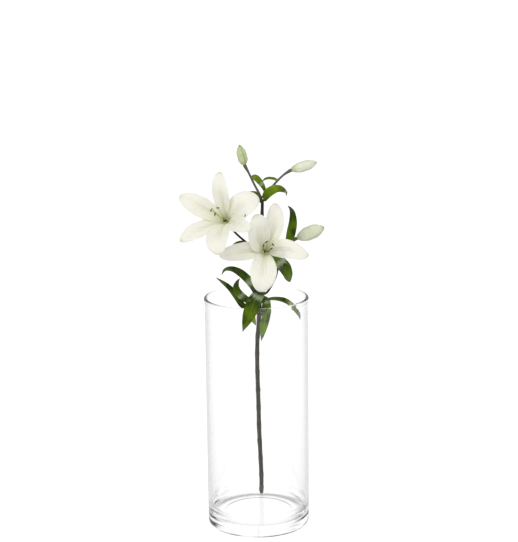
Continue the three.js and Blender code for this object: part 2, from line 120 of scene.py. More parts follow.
# Buds: how deep the seams are and how high the ribs stand, as shares of the radius.
SEAM_DEPTH = 0.075
RIB_HEIGHT = 0.03
BUD_TWIST = 0.35

# How finely each piece is drawn: steps along it and points round or across it.
VASE_SIDES = 192
STEM_GRID = (460, 28)
STALK_GRID = (90, 20)
TEPAL_GRID = (72, 36)
LEAF_GRID = (72, 24)
BUD_GRID = (96, 72)
THREAD_GRID = (40, 12)
BALL_GRID = (16, 20)

# ---------------- routes and places

STEM_ROUTE = [
    (3.6, 66.4, 11), (4.6, 52.5, 44), (3.5, 33.5, 91), (2, 15.5, 136), (1.5, -2, 180.5), (0.8, -19, 224),
    (0.5, -33, 260), (1.2, -46, 291), (2.8, -56, 316), (4.5, -67.6, 344), (6, -77, 372), (7.3, -88, 403),
    (8.5, -97, 434), (9, -105, 464), (9.6, -110, 486), (10.3, -113, 505),
]

# Open flowers: where each sits, which way it looks (degrees right of the front, degrees up), its
# stalk, and its tepals as (degrees round the flower, length, width, lean from the axis, curl of the
# tip, where it is broadest, sideways sweep of the tip). Stamens are (degrees round the flower, spread
# at the end, length), and the pistil is the first two of these.
FLOWERS = {
    "front": {
        "seat": (12.3, -142.7, 440.7),
        "looks": (10, 22),
        "stalk": [(8.5, -93, 417), (10, -103, 425), (11, -118, 432.5), (12.1, -141.5, 440.2)],
        "outer": [(66, 75, 25, 62, 50, 0.6, 10), (182, 73, 25, 88, 40, 0.5, 2),
                  (344, 56, 15, 42, 45, 0.5, 0)],
        "inner": [(133, 67, 36, 38, 40, 0.5, -21), (252, 73, 36, 64, 55, 0.58, 3),
                  (361, 70, 26.5, 50, 30, 0.48, -18)],
        "stamens": [(120, 7.5, 42), (30, 5.5, 42), (300, 3.5, 41), (165, 8, 41), (205, 4, 20), (295, 3, 20)],
        "pistil": (70, 4),
    },
    "left": {
        "seat": (-37.2, -139.3, 482.1),
        "looks": (-22, 26),
        "stalk": [(8.6, -97.5, 431), (-1, -103, 438), (-14, -112.5, 449.6), (-28.3, -124, 465.5),
                  (-36.8, -138.2, 481.5)],
        "outer": [(86, 77, 24.5, 42, 50, 0.55, 6), (223, 78, 24, 52, 35, 0.6, 1),
                  (340, 76, 23, 50, 40, 0.55, 0)],
        "inner": [(161, 77, 28, 44, 40, 0.55, 0), (281.5, 74.5, 33, 47, 75, 0.64, 0),
                  (27, 71, 37, 64, 60, 0.6, 2)],
        "stamens": [(150, 10.5, 42), (175, 3, 40), (90, 8.5, 42), (5, 38, 42), (200, 0.5, 14), (315, 2, 12)],
        "pistil": (140, 5),
    },
}

# Closed buds: the stalk's route, where the tip is, the greatest radius, how far that lies towards the
# tip (1 is halfway, and more is nearer the tip) and how green the bud is.
BUDS = {
    "bud_upper_left": {
        "stalk": [(10.4, -113, 504), (6.4, -116, 515.9), (-0.5, -119, 529.9), (-5.9, -121, 542),
                  (-9.9, -122, 550.4), (-13.9, -123, 557.9)],
        "tip": (-20.1, -127, 586),
        "radius": 6.6,
        "fullness": 0.95,
        "green": 0.95,
    },
    "bud_upper_right": {
        "stalk": [(10.4, -113, 504), (18.8, -111.5, 518.7), (29.6, -108, 531.1), (40.2, -103, 540.4),
                  (50.4, -98, 546)],
        "tip": (86, -90, 555),
        "radius": 7.4,
        "fullness": 1.1,
        "green": 0.1,
    },
    "bud_right": {
        "stalk": [(5.5, -74, 364), (15, -83, 370), (22.5, -87, 382.4), (28.2, -91, 396), (32, -93.5, 411),
                  (41, -96, 433), (53, -98, 447.5), (58.5, -98.8, 451)],
        "tip": (95.2, -107, 467.3),
        "radius": 9.9,
        "fullness": 1.1,
        "green": 0.3,
    },
}

# Leaves: the midrib's route from root to tip, the way the upper face looks at the root and at the
# tip, the greatest width, the fold of the two halves (up is positive) and where it is broadest.
LEAVES = {
    "bract_behind_petal": (
        [(9.7, -112, 503), (6.4, -107, 509.5), (1.6, -101, 513.8), (-3.5, -97, 515), (-9.7, -93, 515.3)],
        (-0.5, -0.6, 1), (-0.2, -0.3, 1), 6, 0.2, 0.45),
    "bract_left": (
        [(13.5, -111.5, 511.5), (14.5, -111, 517), (12, -109.5, 524.5), (7.3, -107.5, 531.3),
         (1.9, -105, 536), (-2.2, -101.5, 537.3), (-5.1, -98, 534.7)],
        (-0.6, -1, 0.2), (-0.1, -0.8, 1), 7.6, 0.3, 0.74),
    "bract_arch": (
        [(31.9, -105.6, 531.5), (27.2, -102.5, 533.5), (20.1, -101, 534.7), (14.5, -100, 533.5),
         (10, -99, 530.6)],
        (0, -0.35, 1), (-0.4, -0.35, 1), 5.5, 0.35, 0.45),
    "bract_right": (
        [(12.2, -114.3, 508.5), (19, -119.5, 518), (26.5, -123.5, 523.5), (33.5, -125, 524.6),
         (39.6, -122.5, 521.8), (43, -120, 518.6), (42.6, -119, 513.5)],
        (-0.5, -1, 0.5), (0.6, -1, 0.6), 12, 0.18, 0.3),
    "bract_on_left_stalk": (
        [(-13.4, -112, 448.9), (-19.5, -114.3, 449.3), (-25.3, -115.6, 448.4), (-31.5, -116.5, 446)],
        (0, -0.7, 1), (-0.3, -0.6, 1), 2.6, 0.3, 0.4),
    "leaf_upright": (
        [(42, -96, 433), (46.5, -101, 447), (49.5, -104, 460.5), (52, -106, 474.5), (51.5, -106, 487.5),
         (49, -104, 493), (45, -102, 497)],
        (0.2, -1, 0.2), (-0.2, -1, 0.1), 11, 0.2, 0.45),
    "leaf_hanging": (
        [(8.5, -96, 431), (19, -103, 431), (28, -108, 424), (36.5, -111, 414), (43, -110, 402.5),
         (47.5, -107, 390.5)],
        (0.5, -1, 1), (0.5, -1, 0.7), 19, 0.3, 0.6),
    "leaf_right": (
        [(5.5, -72, 357), (15, -67, 356), (26, -58, 354.5), (38.5, -48, 349.5), (48.5, -38, 341),
         (56, -29, 330), (60, -23, 322.5), (62, -19, 314.5)],
        (0, -0.7, 1), (1, -0.8, 0.4), 8.6, 0.3, 0.64),
    "leaf_inside": (
        [(7.2, -69, 352), (10, -66.5, 356.5), (13.8, -64.5, 354.5), (14.5, -63.5, 346), (13.2, -63, 335),
         (11.2, -62, 322), (8.8, -60.5, 308), (6.6, -59, 294)],
        (0.2, -0.9, 0.6), (0, -1, 0.1), 12.6, -0.12, 0.42),
    "leaf_over_rim": (
        [(7.5, -76.4, 369), (4.5, -84.5, 367.5), (-2, -90.5, 360), (-7, -92, 347.5), (-13.5, -91, 332),
         (-19.5, -88, 315)],
        (-0.3, -0.8, 1), (0, -1, 0.15), 20, 0.15, 0.36),
    "leaf_left_tip": (
        [(3.8, -63.5, 336), (-4, -63, 338), (-6, -62, 334), (-4.5, -61, 326.5), (-1, -60, 317)],
        (-0.4, -1, 0.4), (-0.3, -1, 0.1), 7, 0.1, 0.45),
    "leaf_left_long": (
        [(4.5, -66.4, 342), (-9, -64, 341), (-19.5, -60, 346), (-28, -56, 357.5), (-38.5, -53, 371),
         (-56.5, -50, 385)],
        (0.3, -1, 0.9), (0.3, -1, 0.6), 8, 0.25, 0.45),
    "leaf_left_fold": (
        [(5, -70, 352), (-8, -67.5, 352.5), (-18.5, -62, 358), (-25.5, -60, 365), (-28.5, -60, 373),
         (-27, -61, 380), (-23, -62, 386)],
        (0, -0.5, 1), (0.4, -1, -0.1), 10, 0.2, 0.5),
    "leaf_left_arch": (
        [(5.2, -71.8, 357), (2, -74.5, 363), (-3.5, -73, 374), (-11, -69.5, 385), (-21.5, -63.5, 393.5),
         (-33, -59.5, 398.5), (-43.5, -57, 397.5), (-48.5, -56, 390)],
        (0.8, -1, 0.7), (-0.1, -0.8, 1), 12, 0.2, 0.42),
}

# Where a painted highlight crosses the upper face of a leaf, from 0 at its root to 1 at its tip.
PAINTED_HIGHLIGHTS = {
    "bract_left": 0.46, "bract_arch": 0.14, "bract_right": 0.86, "leaf_hanging": 0.52, "leaf_right": 0.62,
    "leaf_inside": 0.17, "leaf_over_rim": 0.2, "leaf_left_fold": 0.5, "leaf_left_arch": 0.36,
}
# A leaf without a painted highlight has it this far along or further, which is beyond its tip.
NO_PAINTED_HIGHLIGHT = 2

# ---------------- camera

# The picture's height and the focal length in pixels, and the camera's place in metres.
IMAGE_HIGH = 542
FOCAL_PIXELS = 1696.7
CAMERA_PLACE = (0.0045, -2.3975, 0.9211)
PITCH_DOWN = 12.663
ROLL = -0.671


def place_camera():
    """The camera at the photograph's viewing angle: pitched down, and rolled a little about its view."""
    pitch, roll = math.radians(PITCH_DOWN), math.radians(ROLL)
    ahead = np.array([0, math.cos(pitch), -math.sin(pitch)])
    level_up = np.array([0, math.sin(pitch), math.cos(pitch)])
    level_right = np.array([1.0, 0, 0])
    right = math.cos(roll) * level_right + math.sin(roll) * level_up
    upward = -math.sin(roll) * level_right + math.cos(roll) * level_up
    lens = bpy.data.cameras.new("camera")
    lens.sensor_width = 36
    lens.lens = lens.sensor_width * FOCAL_PIXELS / IMAGE_HIGH
    lens.clip_end = 100
    camera = add_object("camera", lens)
    camera.matrix_world = Matrix(standing(right, upward, -ahead, CAMERA_PLACE).tolist())
    bpy.context.scene.camera = camera


# ---------------- array helpers


def smooth(x):
    """The smooth step 3x^2 - 2x^3, with x held between 0 and 1."""
    x = np.clip(x, 0, 1)
    return x * x * (3 - 2 * x)


def unit(vectors):
    """Vectors scaled to length 1 along their last axis."""
    return vectors / np.linalg.norm(vectors, axis=-1, keepdims=True)


def standing(right, upward, back, place):
    """The matrix that puts a thing's x, y and z axes along right, upward and back, at a place."""
    matrix = np.eye(4)
    matrix[:3] = np.stack([right, upward, back, place], axis=-1)
    return matrix


def add_object(name, data):
    """A new object in the scene that shows the data."""
    made = bpy.data.objects.new(name, data)
    bpy.context.scene.collection.objects.link(made)
    return made


def full_turn(sides):
    """The angles of a ring's points, evenly round a full turn."""
    return np.linspace(0, 2 * np.pi, sides, endpoint=False)


def rings_about(centres, side, other, turn, radius):
    """A ring of points round each centre: centre + radius (side cos turn + other sin turn)."""
    ring = side[..., None, :] * np.cos(turn)[:, None] + other[..., None, :] * np.sin(turn)[:, None]
    return centres[:, None] + ring * radius[..., None]


class Route:
    """A curve through listed points: a centripetal Catmull-Rom spline, measured by its length."""

    STEPS = 400

    def __init__(self, points):
        inner = np.array(points, float)
        first, last = 2 * inner[0] - inner[1], 2 * inner[-1] - inner[-2]
        self.points = np.vstack([first, inner, last])
        self.gaps = np.sqrt(np.linalg.norm(np.diff(self.points, axis=0), axis=1))[:, None]
        self.knots = np.linspace(0, 1, self.STEPS + 1)
        travelled = np.linalg.norm(np.diff(self.spline(self.knots), axis=0), axis=1)
        self.travel = np.concatenate([[0], np.cumsum(travelled)])
        self.length = self.travel[-1]

    def spline(self, knot):
        """The cubic between each pair of points, from their places and the slopes at both."""
        spans = len(self.points) - 3
        span = np.minimum((knot * spans).astype(int), spans - 1)
        w = (knot * spans - span)[:, None]
        a, b, c, d = (self.points[span + k] for k in range(4))
        before, here, after = (self.gaps[span + k] for k in range(3))
        leave = ((b - a) / before - (c - a) / (before + here) + (c - b) / here) * here
        reach = ((c - b) / here - (d - b) / (here + after) + (d - c) / after) * here
        cubic = 2 * b - 2 * c + leave + reach
        square = -3 * b + 3 * c - 2 * leave - reach
        return b + w * (leave + w * (square + w * cubic))

    def at(self, s):
        """Points at the share s of the length."""
        s = np.atleast_1d(np.asarray(s, float))
        return self.spline(np.interp(np.clip(s, 0, 1) * self.length, self.travel, self.knots))

    def heading(self, s):
        """Unit tangents at the share s of the length, by a small step either way."""
        step = 0.002
        return unit(self.at(np.asarray(s) + step) - self.at(np.asarray(s) - step))


def across_route(route, s):
    """Two unit vectors square to the route at s: one nearest the axis the route follows least."""
    heading = route.heading(s)
    least = np.eye(3)[np.argmin(np.abs(heading).max(axis=0))]
    side = unit(least - heading * (heading @ least)[:, None])
    return side, np.cross(heading, side)


# ---------------- meshes


class Skin:
    """The points, faces and surface marks of one piece, gathered patch by patch and then meshed.

    Each point carries four marks that the finishes read: where it is along and across its own patch,
    upper and a tint. Upper is 1 on a blade's upper face and 0 on its lower one, 0 on the stem's cut,
    and on a bud it tells how deep in a seam the point is.
    """

    def __init__(self):
        self.points, self.marks, self.faces = [], [], []
        self.count = 0

    def grid(self, points, along, across, upper, tint, around=False, flip=False):
        """Four-sided faces over a grid of points; around joins its last column to its first."""
        rows, columns = points.shape[:2]
        index = self.count + np.arange(rows * columns).reshape(rows, columns)
        here, right = (index, np.roll(index, -1, axis=1)) if around else (index[:, :-1], index[:, 1:])
        quads = np.stack([here[:-1], right[:-1], right[1:], here[1:]], axis=-1).reshape(-1, 4)
        self.faces.append(quads[:, ::-1] if flip else quads)
        shape = (rows, columns)
        marks = [np.broadcast_to(np.asarray(m, float), shape).ravel() for m in (along, across, upper, tint)]
        self.marks.append(np.stack(marks, axis=-1))
        self.points.append(points.reshape(-1, 3))
        self.count += rows * columns
        return index

    def tube(self, points, along, upper=1.0, tint=0.0):
        """A grid joined up all round, with its small first and last rings closed from side to side."""
        columns = points.shape[1]
        index = self.grid(points, along, np.arange(columns) / columns, upper, tint, around=True)
        for ring in (index[0][::-1], index[-1]):
            half = columns // 2
            self.strip(ring[:half], ring[::-1][:half])

    def strip(self, first, second):
        """Four-sided faces between two lines of points already in the skin."""
        quads = np.stack([first[:-1], first[1:], second[1:], second[:-1]], axis=-1)
        self.faces.append(quads)

    def bar(self, points, grid, radius_at):
        """A closed round bar along a route, its radius a function of the length and of the turn."""
        route = Route(points)
        steps, sides = grid
        s, turn = np.linspace(0, 1, steps + 1), full_turn(sides)
        radius = radius_at(s[:, None], turn) + 0 * turn
        radius[0] = radius[-1] = POLE_RADIUS
        placed = rings_about(route.at(s), *across_route(route, s), turn, radius)
        self.tube(placed, s[:, None])

    def object(self, name, finish, node, transform=None):
        """The gathered skin as a smooth mesh object that rides on the root and stands for its node."""
        points = np.concatenate(self.points)
        if transform is not None:
            points = points @ transform[:3, :3].T + transform[:3, 3]
        marks = np.concatenate(self.marks)
        faces = np.concatenate(self.faces)
        mesh = bpy.data.meshes.new(name)
        mesh.vertices.add(len(points))
        mesh.vertices.foreach_set("co", (points * MM).ravel())
        mesh.loops.add(faces.size)
        mesh.loops.foreach_set("vertex_index", faces.ravel())
        mesh.polygons.add(len(faces))
        mesh.polygons.foreach_set("loop_start", np.arange(0, faces.size, 4))
        mesh.polygons.foreach_set("use_smooth", np.ones(len(faces), bool))
        for column, mark in enumerate(("along", "across", "upper", "tint")):
            layer = mesh.attributes.new(mark, "FLOAT", "POINT")
            layer.data.foreach_set("value", marks[:, column].astype(np.float32))
        mesh.update(calc_edges=True)
        mesh.validate()
        mesh.materials.append(finish)
        piece = add_object(name, mesh)
        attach(piece, "root")
        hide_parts(node)


def blade(skin, surface, thickness, grid, tint):
    """A closed thin sheet over surface(s, t), s from 0 to 1 along it and t from -1 to 1 across.

    Each face lies half the thickness off the middle surface along its normal. The thickness falls
    from the midrib to a share of itself at the edges, as 1 - (1 - share) t^4, and to half at the tip.
    """
    rows, columns = grid
    s = np.linspace(0, 1, rows + 1)[:, None]
    t = np.linspace(-1, 1, columns + 1)[None, :]
    middle = surface(s, t)
    normal = unit(np.cross(np.gradient(middle, axis=1), np.gradient(middle, axis=0)))
    half = thickness / 2 * (1 - (1 - EDGE_SHARE) * t**4) * (1 - 0.5 * smooth((s - 0.85) / 0.15))
    lift = normal * half[..., None]
    upper = skin.grid(middle + lift, s, t, 1.0, tint)
    lower = skin.grid(middle - lift, s, t, 0.0, tint, flip=True)
    skin.strip(upper[:, 0], lower[:, 0])
    skin.strip(lower[:, -1], upper[:, -1])
    skin.strip(lower[0], upper[0])
    skin.strip(upper[-1], lower[-1])


# ---------------- finishes

# Where colours change on the stem and the leaves, in metres: from the first place to the second.
YOUNG_STALK_HEIGHT = (0.50, 0.53)
YOUNG_STALK_ASIDE = (0.026, 0.042)
YOUNG_LIT_BRACT_HEIGHT = (0.512, 0.53)
INSIDE_VASE_HEIGHT = (0.37, 0.32)


class Signal:
    """A shader value. Sums written with it add the Math nodes that work them out."""

    def __init__(self, nodes, socket):
        self.nodes, self.socket = nodes, socket

    def maths(self, operation, first, second=0.0):
        return self.nodes.node("ShaderNodeMath", {"operation": operation}, {0: first, 1: second})

    def __add__(self, other):
        return self.maths("ADD", self, other)

    __radd__ = __add__

    def __sub__(self, other):
        return self.maths("SUBTRACT", self, other)

    def __rsub__(self, other):
        return self.maths("SUBTRACT", other, self)

    def __mul__(self, other):
        return self.maths("MULTIPLY", self, other)

    __rmul__ = __mul__

    def __pow__(self, other):
        return self.maths("POWER", self, other)

    def __abs__(self):
        return self.maths("ABSOLUTE", self)

    def sine(self):
        return self.maths("SINE", self)

    def step(self, low, high):
        """0 below low, 1 above high and smooth between; low may be the greater, to fall instead."""
        settings = {"interpolation_type": "SMOOTHSTEP"}
        if low < high:
            return self.nodes.node("ShaderNodeMapRange", settings, {0: self, 1: low, 2: high})
        return 1 - self.nodes.node("ShaderNodeMapRange", settings, {0: self, 1: high, 2: low})

    def bell(self, width):
        """1 where the value is 0, and near 0 beyond the width either way."""
        return abs(self).step(width, 0.0)


class Nodes:
    """A tree of shader nodes."""

    def __init__(self, tree):
        self.tree = tree

    def node(self, kind, settings=None, inputs=None, output=0):
        """A new node: its settings first, then the values or links of its sockets."""
        made = self.tree.nodes.new(kind)
        for key, value in (settings or {}).items():
            setattr(made, key, value)
        for key, value in (inputs or {}).items():
            if isinstance(value, Signal):
                self.tree.links.new(value.socket, made.inputs[key])
            else:
                made.inputs[key].default_value = value
        return Signal(self, made.outputs[output])

    def mix(self, share, first, second):
        """The colour that runs from first to second as share goes from 0 to 1."""
        first, second = (c if isinstance(c, Signal) else (*c, 1.0) for c in (first, second))
        return self.node("ShaderNodeMix", {"data_type": "RGBA"}, {0: share, 6: first, 7: second}, output=2)


class Finish(Nodes):
    """A material made of nodes, with one Principled shader."""

    def __init__(self, name, **values):
        self.material = bpy.data.materials.new(name)
        self.material.use_nodes = True
        super().__init__(self.material.node_tree)
        self.shader = self.tree.nodes["Principled BSDF"]
        self.surface = self.tree.nodes["Material Output"].inputs["Surface"]
        self.set(**values)

    def set(self, **values):
        """Values or links of the Principled shader's sockets, by their names with underscores."""
        for key, value in values.items():
            socket = self.shader.inputs[key.replace("_", " ").title().replace("Ior", "IOR")]
            if isinstance(value, Signal):
                self.tree.links.new(value.socket, socket)
            else:
                socket.default_value = value

    def mark(self, name):
        """A surface mark that the piece's skin carries."""
        return self.node("ShaderNodeAttribute", {"attribute_name": name}, output=2)

    def place(self, stretch=(1, 1, 1)):
        """Object coordinates, stretched."""
        where = self.node("ShaderNodeTexCoord", output="Object")
        return self.node("ShaderNodeMapping", None, {"Vector": where, "Scale": stretch})

    def axis(self, name, stretch=(1, 1, 1)):
        """One of the object coordinates, stretched."""
        return self.node("ShaderNodeSeparateXYZ", None, {0: self.place(stretch)}, output=name)

    def patch(self, along, across, aside):
        """A place on the skin's own surface, for a noise that follows it."""
        return self.node("ShaderNodeCombineXYZ", None, {0: along, 1: across, 2: aside})

    def noise(self, where, scale, detail):
        """Soft noise between 0 and 1."""
        return self.node("ShaderNodeTexNoise", None, {"Vector": where, "Scale": scale, "Detail": detail})

    def grain(self, scale, detail, stretch=(1, 1, 1)):
        """Soft noise over the object coordinates, which are stretched first."""
        return self.noise(self.place(stretch), scale, detail)

    def relief(self, height, depth):
        """Bumps of the given depth in metres, on the Normal socket."""
        inputs = {"Height": height, "Distance": depth, "Strength": 1.0}
        self.set(normal=self.node("ShaderNodeBump", None, inputs))


def glass_finish():
    """Clear polished glass that lets the lamps through, painted grey where it is seen at a slant.

    All its greys are painted shade, in place of what the glass bends and mirrors. The wall greys at its
    edges, more towards the base, and its lip is clear but for a thin painted line near the top. The thick
    heel greys in level streaks, broken into patches, and along its foot. The floor is faintly grey, with
    its round and one ring inside it showing towards the back.
    """
    glass = Finish("clear_glass", roughness=0.0, ior=1.42, transmission_weight=1.0)
    slant = glass.node("ShaderNodeLayerWeight", None, {"Blend": 0.5}, output="Facing")
    # Radius, height and what follows from them are in millimetres.
    flat = {0: glass.place((1 / MM, 1 / MM, 0))}
    radius = glass.node("ShaderNodeVectorMath", {"operation": "LENGTH"}, flat, output="Value")
    height, back = (glass.axis(name, (1 / MM, 1 / MM, 1 / MM)) for name in "ZY")

    def floor_shade_ring(share, width, depth):
        """Painted shade on a floor ring at a share of the vase's radius, fading over width and depth."""
        return (radius - share * VASE_RADIUS).bell(width) * (height - FLOOR).bell(depth)

    wall = radius.step(VASE_RADIUS - WALL - FLOOR_ROUND, VASE_RADIUS - WALL)
    lip = height.step(VASE_HEIGHT - LIP_DEPTH, VASE_HEIGHT - 3)
    # A thin line of painted shade along the top of the lip.
    lip_shade_line = (height - (VASE_HEIGHT - 1.5)).bell(2)
    low = height.step(200, 40)
    thick = height.step(2.6 * FLOOR, 1.2 * FLOOR)
    streak = glass.grain(1.0, 3.0, (22, 22, 330)).step(0.42, 0.58)
    patch = glass.grain(1.0, 2.0, (16, 16, 30)).step(0.26, 0.44)
    patch = patch + (1 - patch) * height.step(14, 10)
    behind = back.step(-10, 35)
    rings = floor_shade_ring(0.84, 9, 6) * (0.15 + 0.6 * behind) + floor_shade_ring(0.66, 3, 2) * 0.85 * behind
    # Painted shade in place of what the glass bends and mirrors: slanted wall, lip, heel, floor and foot.
    grey = wall * (slant**2.3 * (0.04 + 0.22 * low) + slant * 0.02) * (1 - lip)
    grey = grey + lip_shade_line * 0.14
    grey = grey + wall * thick * streak * patch * slant.step(0.12, 0.55) * 0.95
    grey = grey + rings * (0.3 + 0.7 * patch)
    grey = grey + radius.step(VASE_RADIUS, 0.8 * VASE_RADIUS) * 0.08
    grey = grey + height.step(4.5, 1.5) * wall * 0.10
    glass.set(base_color=glass.mix(grey, (1, 1, 1), (0, 0, 0)))
    open_way = glass.node("ShaderNodeBsdfTransparent", None, {0: (1, 1, 1, 1)})
    lamp_ray = glass.node("ShaderNodeLightPath", output="Is Shadow Ray")
    body = Signal(glass, glass.shader.outputs[0])
    both = glass.node("ShaderNodeMixShader", None, {0: lamp_ray, 1: body, 2: open_way})
    glass.tree.links.new(both.socket, glass.surface)
    return glass.material


def stem_finish():
    """Dull brown-green skin: fine streaks, olive blotches and pale specks.

    The leaf scars are dark with a pale rim, and the cut is pale. The stem is darkest inside the vase,
    and the far ends of the stalks are young and grey-green.
    """
    skin = Finish("stem_skin", roughness=0.62, specular_ior_level=0.2)
    streak = skin.grain(1.0, 5.0, (260, 260, 34))
    blotch = skin.grain(1.0, 3.0, (60, 60, 25))
    speck = skin.grain(420.0, 2.0).step(0.60, 0.68)
    scar = skin.mark("tint")
    cut = skin.mark("upper").step(0.6, 0.4)
    height = skin.axis("Z")
    young = 1 - (1 - height.step(*YOUNG_STALK_HEIGHT)) * (1 - skin.axis("X").step(*YOUNG_STALK_ASIDE))
    bark = skin.mix(streak.step(0.3, 0.72), (0.012, 0.006, 0.003), (0.056, 0.036, 0.020))
    olive = skin.mix(streak.step(0.25, 0.75), (0.014, 0.012, 0.004), (0.056, 0.048, 0.020))
    colour = skin.mix(blotch.step(0.38, 0.62) * 0.7 + 0.1, bark, olive)
    colour = skin.mix(scar.step(0.3, 0.8), colour, (0.014, 0.009, 0.006))
    colour = skin.mix((scar - 0.3).bell(0.14) * 0.55, colour, (0.20, 0.17, 0.12))
    colour = skin.mix(cut, colour, (0.11, 0.10, 0.06))
    colour = skin.mix(speck * 0.5, colour, (0.16, 0.135, 0.095))
    colour = skin.mix(height.step(*INSIDE_VASE_HEIGHT) * 0.55, colour, (0.004, 0.002, 0.001))
    colour = skin.mix(young * (0.4 + 0.4 * streak), colour, (0.18, 0.175, 0.14))
    skin.set(base_color=colour)
    skin.relief(streak + blotch * 0.6, 0.0004)
    return skin.material


def petal_finish():
    """Waxy cream white: fine veins run from root to tip, and the throat and midrib turn green."""
    petal = Finish(
        "petal_wax", roughness=0.52, specular_ior_level=0.4, subsurface_weight=0.25, subsurface_scale=0.0015,
        subsurface_radius=(1.0, 0.9, 0.55))
    along, across, upper = petal.mark("along"), petal.mark("across"), petal.mark("upper")
    drift = petal.noise(petal.patch(along * 3, across * 2, petal.mark("tint") * 7), 2.0, 3.0)
    vein = (across * 34 + drift * 5).sine() * 0.5 + 0.5
    mottle = petal.grain(90.0, 3.0)
    cream = petal.mix(vein.step(0.2, 1.0) * 0.45, (0.91, 0.90, 0.81), (0.83, 0.81, 0.69))
    cream = petal.mix(mottle.step(0.35, 0.75) * 0.3, cream, (0.83, 0.815, 0.71))
    midrib = across.bell(0.16) * along.step(0.85, 0.1)
    cream = petal.mix(midrib * (0.28 + 0.3 * (1 - upper)), cream, (0.50, 0.53, 0.25))
    cream = petal.mix(along.step(0.6, 0.12) * 0.4, cream, (0.90, 0.94, 0.66))
    throat = along.step(0.20, 0.0) * (0.3 + 0.3 * across.bell(0.6))
    cream = petal.mix(throat, cream, (0.74, 0.82, 0.42))
    tip = along.step(0.93, 1.0) * 0.28
    cream = petal.mix(tip, cream, (0.52, 0.56, 0.28))
    groove = (abs(across) - 0.2).bell(0.1) * along.step(0.92, 0.3)
    cream = petal.mix(groove * 0.45, cream, (0.60, 0.58, 0.44))
    petal.set(base_color=cream)
    petal.relief(vein * 0.35 + mottle * 0.4 - midrib * 0.4, 0.00045)
    return petal.material


def stamen_finish():
    """Yellow-green filaments and dark brown, powdery anthers, told apart by the tint mark."""
    stamen = Finish("stamen_pollen", roughness=0.75, specular_ior_level=0.3)
    grain = stamen.grain(1600.0, 2.0)
    powder = stamen.mix(grain.step(0.3, 0.7), (0.014, 0.010, 0.006), (0.050, 0.034, 0.016))
    thread = stamen.mix(stamen.mark("along").step(0.0, 0.8), (0.42, 0.47, 0.14), (0.62, 0.63, 0.32))
    stamen.set(base_color=stamen.mix(stamen.mark("tint").step(0.4, 0.6), thread, powder))
    stamen.relief(grain, 0.0003)
    return stamen.material


def bud_finish():
    """Waxy pale green: white on the crowns, greener in the seams, at the root and at the tip."""
    bud = Finish(
        "bud_wax", roughness=0.48, specular_ior_level=0.45, subsurface_weight=0.2, subsurface_scale=0.002,
        subsurface_radius=(0.9, 1.0, 0.55))
    along, seam, green = bud.mark("along"), bud.mark("upper"), bud.mark("tint")
    drift = bud.grain(150.0, 3.0)
    vein = (bud.mark("across") * 220 + drift * 5).sine() * 0.5 + 0.5
    pale = bud.mix(vein.step(0.2, 1.0) * 0.4, (0.86, 0.87, 0.74), (0.77, 0.80, 0.60))
    colour = bud.mix(green * (0.55 + 0.45 * drift), pale, (0.45, 0.55, 0.20))
    ends = along.step(0.30, 0.0) * 0.6 + along.step(0.86, 1.0) * 0.55
    colour = bud.mix(ends, colour, (0.40, 0.49, 0.16))
    colour = bud.mix(seam.step(0.45, 1.0) * (0.25 + 0.65 * green), colour, (0.20, 0.26, 0.075))
    bud.set(base_color=colour)
    bud.relief(vein * 0.4 + drift * 0.5, 0.0004)
    return bud.material


def leaf_finish():
    """Glossy green with parallel veins, a paler midrib, tip and lower face, and a painted highlight.

    The bracts round the top fork are yellower, as young ones are, and brighter with painted light, as if lit
    through.
    """
    leaf = Finish("leaf_gloss", coat_weight=0.15, coat_roughness=0.15, specular_ior_level=0.05)
    along, across, upper = leaf.mark("along"), leaf.mark("across"), leaf.mark("upper")
    drift = leaf.noise(leaf.patch(along * 4, across * 2, leaf.mark("tint") * 9), 2.0, 3.0)
    vein = (across * 30 + drift * 4).sine() * 0.5 + 0.5
    blotch = leaf.grain(55.0, 4.0)
    green = leaf.mix(blotch.step(0.36, 0.64), (0.020, 0.044, 0.001), (0.130, 0.225, 0.002))
    green = leaf.mix(vein.step(0.3, 1.0) * 0.45, green, (0.022, 0.045, 0.001))
    green = leaf.mix(across.bell(0.11) * 0.5, green, (0.17, 0.23, 0.02))
    green = leaf.mix((1 - upper) * 0.5, green, (0.12, 0.16, 0.03))
    # The high bracts are yellower as young, and lighter with painted light as if the lamps shone through
    # them.
    young = leaf.axis("Z").step(*YOUNG_LIT_BRACT_HEIGHT)
    green = leaf.mix(young * (0.3 + 0.5 * blotch), green, (0.24, 0.36, 0.01))
    green = leaf.mix(along.step(0.8, 1.0) * 0.55, green, (0.26, 0.28, 0.20))
    # Painted highlight: a pale band across the upper face where the leaf bends towards the lamps.
    painted_glint = (along - leaf.mark("tint") + drift * 0.16 - 0.08).bell(0.085) * upper
    green = leaf.mix(painted_glint * (0.25 + 0.6 * vein), green, (0.62, 0.66, 0.52))
    leaf.set(base_color=green, roughness=0.30 + 0.22 * (1 - upper) + 0.12 * blotch)
    leaf.relief(vein * 0.7 + blotch * 0.5 - across.bell(0.11) * 0.8, 0.0005)
    return leaf.material


# ---------------- vase


def arc(r, z, radius, start, end, steps):
    """Points on a round about (r, z) in the vase's profile, from one angle to another in degrees."""
    angle = np.radians(np.linspace(start, end, steps + 1))
    return np.stack([r + radius * np.cos(angle), z + radius * np.sin(angle)], axis=-1)


